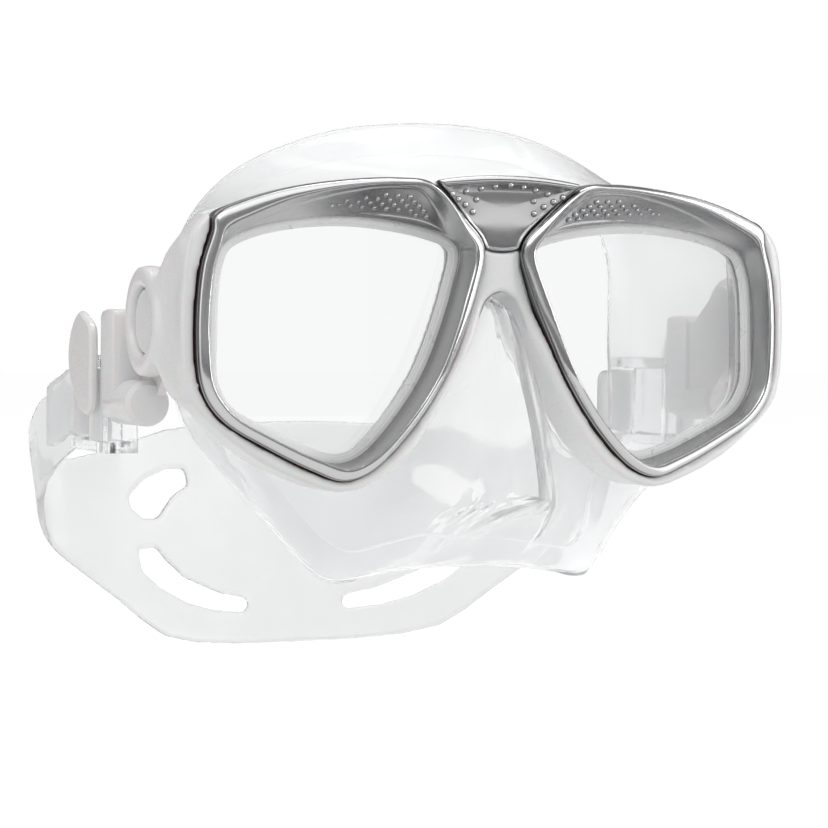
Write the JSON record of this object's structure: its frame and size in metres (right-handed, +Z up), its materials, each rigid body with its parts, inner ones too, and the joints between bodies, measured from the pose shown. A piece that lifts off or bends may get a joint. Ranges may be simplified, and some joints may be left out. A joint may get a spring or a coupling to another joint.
{
  "type": "diving mask",
  "caption": "Low-volume diving mask: two tempered lenses in silver rims on a pale frame, clear silicone skirt with nose pocket, swivel buckles and a split clear strap.",
  "frame": {"origin": "middle of the face seal at eye level, where the skirt meets the face", "axes": "+X to the wearer's left, +Y back towards the head, +Z up; the lenses face -Y"},
  "size_m": [0.1802, 0.1699, 0.1488],
  "materials": {
    "milky_plastic": "milky white, gloss",
    "satin_silver": "satin silver",
    "lens_glass": "clear, polished",
    "gasket_silicone": "clear, soft",
    "clear_silicone": "clear, satin",
    "clear_plastic": "clear, gloss",
    "steel": "satin"
  },
  "bodies": {
    "mask": {"frame": "milky_plastic", "rim_left": "satin_silver", "rim_right": "satin_silver", "bridge_clip": "satin_silver", "lens_left": "lens_glass", "lens_right": "lens_glass", "lens_gasket_left": "gasket_silicone", "lens_gasket_right": "gasket_silicone", "skirt": "clear_silicone"},
    "strap_loop": {"strap": "clear_silicone", "buckle_bracket_left": "milky_plastic", "buckle_body_left": "clear_plastic", "lever_pin_left": "steel", "roller_axle_left": "steel", "buckle_bracket_right": "milky_plastic", "buckle_body_right": "clear_plastic", "lever_pin_right": "steel", "roller_axle_right": "steel"},
    "lever_left": {"release_lever_left": "milky_plastic"},
    "lever_right": {"release_lever_right": "milky_plastic"},
    "roller_left": {"strap_roller_left": "milky_plastic"},
    "roller_right": {"strap_roller_right": "milky_plastic"}
  },
  "joints": [
    {"name": "strap_swing", "type": "hinge", "parent": "mask", "child": "strap_loop", "pos_m": [0, -0.013, 0.0025], "axis": [1, 0, 0], "range_deg": [-30, 75]},
    {"name": "lever_left_press", "type": "hinge", "parent": "strap_loop", "child": "lever_left", "pos_m": [0.08499, 0.0192, -0.0189], "axis": [0, 0, -1], "range_deg": [0, 18], "stiffness_Nm_per_rad": 0.05},
    {"name": "lever_right_press", "type": "hinge", "parent": "strap_loop", "child": "lever_right", "pos_m": [-0.08499, 0.0192, -0.0189], "axis": [0, 0, 1], "range_deg": [0, 18], "stiffness_Nm_per_rad": 0.05},
    {"name": "roller_left_spin", "type": "hinge", "parent": "strap_loop", "child": "roller_left", "pos_m": [0.08111, 0.048, -0.0189], "axis": [0, 0, 1], "continuous": true},
    {"name": "roller_right_spin", "type": "hinge", "parent": "strap_loop", "child": "roller_right", "pos_m": [-0.08111, 0.048, -0.0189], "axis": [0, 0, 1], "continuous": true}
  ]
}
